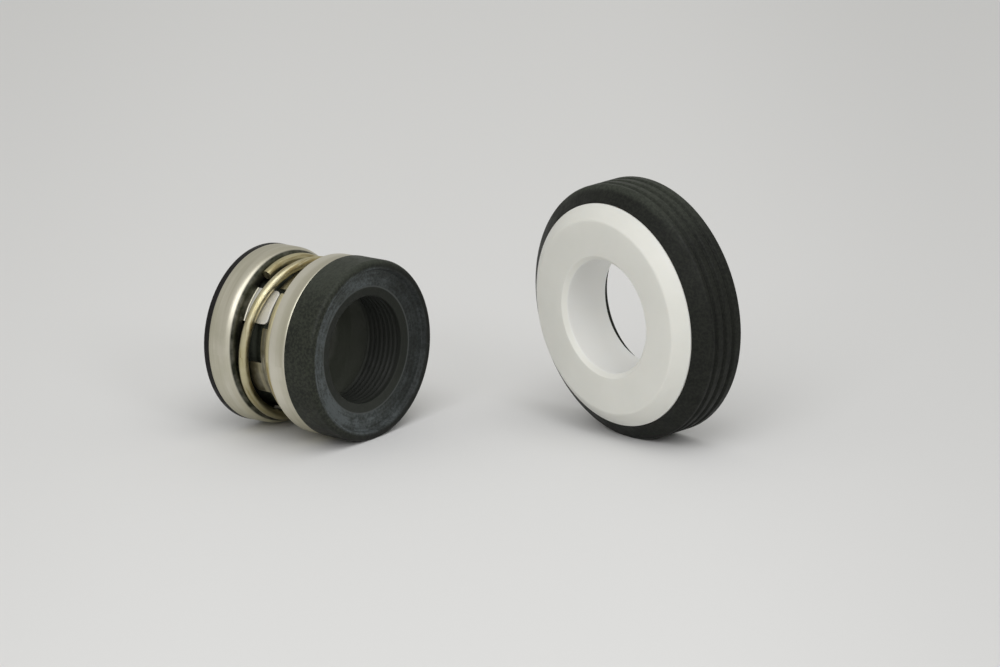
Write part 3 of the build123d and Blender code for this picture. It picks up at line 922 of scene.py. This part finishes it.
def brushed_steel(name, shade_r, shade_front, shade_colour, highlit_fingers):
    """Stainless sheet, lined and faintly banded round the axis, with dark, streaked painted shade in its hollows.

    The painted shade lies inside a radius and behind a plane across the axis. The shell's fingers carry a
    painted highlight and the band's lie under the painted shade, with painted brighter steel in front of them.
    Both pressings are yellower underneath, a painted reflection.
    """
    material, tree, shader = finish(name, STEEL, 0.42, Metallic=1.0)
    space = local_space(tree, HEAD_PLACE)
    parts = polar(tree, space)
    radius, _, along = parts
    lines = lines_round(tree, parts, 0.6, 2600, 4, 0.7)
    bands = between(tree, lines_round(tree, parts, 0.35, 620, 3), 0.36, 0.64)
    smudge = between(tree, noise(tree, space, 210), 0.35, 0.7)
    colour = mixed(tree, bands, *STEEL_BANDS)
    colour = mixed(tree, times(tree, smudge, 0.5), colour, STEEL_SMUDGE)
    rough = plus(tree, between(tree, lines, 0.25, 0.75, 0.34, 0.46), times(tree, smudge, 0.06))
    if highlit_fingers:
        # Painted highlight on the shell's fingers, pale and a little rougher.
        on_finger = between(tree, radius, FINGER_R + 0.4 * MM, FINGER_R + 0.6 * MM, 1, 0)
        finger_highlight = times(tree, on_finger, between(tree, along, shade_front + 0.1 * MM, shade_front + 0.3 * MM))
        colour = mixed(tree, finger_highlight, colour, STEEL_PAINTED_HIGHLIGHT)
        rough = plus(tree, rough, times(tree, finger_highlight, 0.22))
    else:
        # Painted reflection: the band brighter towards its seat corner.
        painted_bright = between(tree, along, BAND_SEAT + 0.3 * MM, BAND_SEAT + 3.4 * MM, 0.75, 0)
        colour = mixed(tree, painted_bright, colour, STEEL_PAINTED_BRIGHT)
    # Painted reflection: yellower towards the bottom.
    underside = between(tree, object_spot(tree)[2], -15 * MM, -6 * MM, 0.8, 0)
    colour = mixed(tree, underside, colour, STEEL_PAINTED_UNDERSIDE)
    # Painted shade: a dark, streaked tone inside shade_r and behind shade_front.
    streaks = between(tree, lines_round(tree, parts, 0.35, 1300, 2, 0.5), 0.42, 0.60)
    painted_shade = mixed(tree, streaks, shade_colour, tuple(2.5 * part for part in shade_colour))
    shaded_zone = times(
        tree,
        between(tree, radius, shade_r - 0.25 * MM, shade_r, 1, 0),
        between(tree, along, shade_front - 0.2 * MM, shade_front, 1, 0),
        between(tree, noise(tree, space, 520), 0.25, 0.75, 0.80, 1.0),
    )
    feed(tree, shader, "Base Color", mixed(tree, shaded_zone, colour, painted_shade))
    feed(tree, shader, "Roughness", rough)
    bumped(tree, shader, lines, 0.004 * MM, 0.5)
    return material


def spring_steel():
    """Drawn spring wire with a light straw tint, streaked along the wire, with painted shade underneath."""
    material, tree, shader = finish("straw_spring_wire", STRAW_WIRE, 0.3, Metallic=1.0)
    space = local_space(tree, HEAD_PLACE)
    tint = between(tree, noise(tree, space, 160), 0.35, 0.65)
    drawn = between(tree, lines_round(tree, polar(tree, space), 1.5, 1500, 4), 0.47, 0.64)
    colour = mixed(tree, drawn, mixed(tree, tint, *STRAW_TINTS), DRAWN_STREAK)
    # Painted shade: the wire darker towards the bottom.
    underside = between(tree, object_spot(tree)[2], -13 * MM, -2 * MM, 0.90, 0)
    feed(tree, shader, "Base Color", mixed(tree, underside, colour, WIRE_PAINTED_SHADE))
    feed(tree, shader, "Roughness", between(tree, noise(tree, space, 1400, 3), 0.3, 0.7, 0.34, 0.48))
    bumped(tree, shader, noise(tree, space, 2200, 3), 0.006 * MM, 0.4)
    return material


def carbon():
    """Resin-bonded carbon: nearly black and dull, a little greyer and smoother on its lapped nose."""
    material, tree, shader = finish("matte_carbon", CARBON, 0.5, Specular_IOR_Level=0.22)
    space = local_space(tree, HEAD_PLACE)
    parts = polar(tree, space)
    speck = between(tree, noise(tree, space, 1500, 5), 0.35, 0.75)
    sawn = lines_round(tree, parts, 0.8, 2400, 3)
    lapped = between(tree, parts[2], RING_LOW.x + 0.02 * MM, RING_LOW.x + 0.06 * MM, 1, 0)
    body = mixed(tree, speck, *CARBON_SPECKS)
    feed(tree, shader, "Base Color", mixed(tree, lapped, body, mixed(tree, speck, *LAPPED_CARBON)))
    dull = between(tree, noise(tree, space, 700), 0.3, 0.7, 0.44, 0.58)
    feed(tree, shader, "Roughness", sums(tree, "SUBTRACT", dull, times(tree, lapped, 0.22)))
    bumped(tree, shader, plus(tree, speck, sawn), 0.005 * MM, 0.5)
    return material


def alumina():
    """Ground white ceramic with a faint depth, its ground lines running round the axis, and painted light in its
    bore.
    """
    material, tree, shader = finish("white_alumina", ALUMINA, 0.36, Subsurface_Weight=0.3, Subsurface_Scale=2 * MM)
    shader.inputs["Subsurface Radius"].default_value = (1.0, 0.9, 0.8)
    space = local_space(tree, SEAT_PLACE)
    parts = polar(tree, space)
    radius, _, along = parts
    lines = lines_round(tree, parts, 0.8, 1500, 3)
    cloud = between(tree, noise(tree, space, 130), 0.3, 0.7)
    ground = mixed(tree, cloud, *GROUND_ALUMINA)
    # Painted light: the bore's wall paler with depth.
    bore = between(tree, radius, SEAT_BORE_R + 0.02 * MM, SEAT_BORE_R + 0.15 * MM, 1, 0)
    depth = between(tree, along, -SEAT_RING_DEPTH, SEAT_PROUD - 1 * MM)
    feed(tree, shader, "Base Color", mixed(tree, bore, ground, mixed(tree, depth, *ALUMINA_BORE_PAINTED_LIGHT)))
    feed(tree, shader, "Roughness", between(tree, lines, 0.3, 0.7, 0.32, 0.46))
    bumped(tree, shader, lines, 0.003 * MM, 0.4)
    return material


# --- the pieces --------------------------------------------------------------------------------
bellows(black_rubber("bloomed_bellows_rubber", HEAD_PLACE, TAIL_RUBBER, TAIL_R, tail=True))
drive_band(brushed_steel("brushed_band_steel", FINGER_R + 0.6 * MM, BAND_SEAT - 0.1 * MM, BAND_PAINTED_SHADE, False))
retainer_shell(brushed_steel("brushed_shell_steel", SHELL_R - 0.4 * MM, SHELL_SEAT + 0.2 * MM, SHELL_PAINTED_SHADE, True))
coil(spring_steel())
primary_ring(carbon())
seat_ring(alumina())
seat_cup(black_rubber("seat_cup_rubber", SEAT_PLACE, CUP_RUBBER, CUP_R))


# --- stage -------------------------------------------------------------------------------------
FLOOR_HALF = 3.0
ACROSS = (0.764, 0.645)
ROOM_STRENGTH = 0.56
LAMP_TARGET = (0.02, 0.01, 0)
CAMERA_PLACE = (0.7655, -0.8385, 0.3251)
CAMERA_TURN = (74.03, 2.98, 40.18)
LENS, SENSOR = 244.5, 36
NEAREST, FARTHEST = 0.01, 20


def floor():
    """A plain pale surface, large enough to fill every view, with painted shade that makes it a little darker to
    both sides.
    """
    material, tree, shader = finish("pale_surface", PALE_FLOOR, 0.8, Specular_IOR_Level=0.2)
    spot = object_spot(tree)
    across = plus(tree, times(tree, spot[0], ACROSS[0]), times(tree, spot[1], ACROSS[1]))
    # Painted shade: the floor darker to both sides, more so far to the left.
    edges = times(
        tree,
        between(tree, across, 45 * MM, 125 * MM, 1, 0.90),
        between(tree, across, -90 * MM, -20 * MM, 0.945, 1),
        between(tree, across, -115 * MM, -88 * MM, 0.94, 1),
    )
    feed(tree, shader, "Base Color", mixed(tree, edges, BLACK, PALE_FLOOR))
    mesh = bpy.data.meshes.new("pale_surface")
    corners = [(-1, -1), (1, -1), (1, 1), (-1, 1)]
    mesh.from_pydata([(x * FLOOR_HALF, y * FLOOR_HALF, FLOOR) for x, y in corners], [], [(0, 1, 2, 3)])
    mesh.materials.append(material)
    piece = bpy.data.objects.new("pale_surface", mesh)
    bpy.context.scene.collection.objects.link(piece)


def soft_box(name, place, size, power):
    """A square studio lamp aimed at the middle of the two halves."""
    lamp = bpy.data.lights.new(name, "AREA")
    lamp.shape = "RECTANGLE"
    lamp.size = lamp.size_y = size
    lamp.energy = power
    lamp.color = LAMP_WHITE
    holder = bpy.data.objects.new(name, lamp)
    holder.location = place
    aim = Vector(LAMP_TARGET) - Vector(place)
    holder.rotation_euler = aim.to_track_quat("-Z", "Y").to_euler()
    bpy.context.scene.collection.objects.link(holder)


def surroundings():
    """A soft white room: brighter overhead, a little darker near the horizon."""
    world = bpy.data.worlds.new("soft_room")
    bpy.context.scene.world = world
    world.use_nodes = True
    tree = world.node_tree
    sky = tree.nodes["Background"]
    direction = tree.nodes.new("ShaderNodeTexCoord").outputs["Generated"]
    up = add(tree, "ShaderNodeSeparateXYZ", Vector=direction).outputs[2]
    share = between(tree, up, -0.1, 0.9)
    tree.links.new(mixed(tree, share, ROOM_LOW, ROOM_HIGH), sky.inputs["Color"])
    sky.inputs["Strength"].default_value = ROOM_STRENGTH


def camera():
    """A long lens from above the tail's side, rolled by about three degrees."""
    lens = bpy.data.cameras.new("camera")
    lens.lens = LENS
    lens.sensor_width = SENSOR
    lens.clip_start = NEAREST
    lens.clip_end = FARTHEST
    view = bpy.data.objects.new("camera", lens)
    view.location = CAMERA_PLACE
    view.rotation_euler = [math.radians(angle) for angle in CAMERA_TURN]
    bpy.context.scene.collection.objects.link(view)
    bpy.context.scene.camera = view


floor()
surroundings()
soft_box("front_box", (0.46, -0.80, 0.92), 1.0, 6.0)
soft_box("side_box", (1.08, -0.43, 0.59), 0.3, 1.9)
soft_box("top_box", (0.54, -0.10, 1.18), 0.8, 3.0)
camera()
bpy.context.scene.view_settings.view_transform = "Standard"
